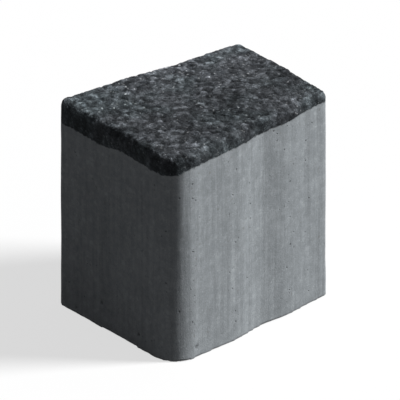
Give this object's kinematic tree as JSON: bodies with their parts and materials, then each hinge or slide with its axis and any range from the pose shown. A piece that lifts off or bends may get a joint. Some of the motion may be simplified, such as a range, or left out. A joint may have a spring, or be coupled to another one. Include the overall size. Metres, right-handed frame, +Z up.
{
  "type": "concrete paver",
  "caption": "Small wedge-shaped pressed concrete paver with softly waved joint faces, a well rounded front corner and a rounded rim round its dark wearing face.",
  "frame": {"origin": "centre of the bed, the flat underside, in the middle of the paver's box", "axes": "+X along the course of paving, +Y across it towards the narrow end of the wedge, +Z up out of the wearing face"},
  "size_m": [0.0632, 0.0776, 0.08],
  "materials": {
    "concrete": "rough cast concrete: dark anthracite granular face mix 4 to 8 mm thick on a plain grey core"
  },
  "bodies": {
    "root": {"paver": "concrete"}
  },
  "joints": []
}
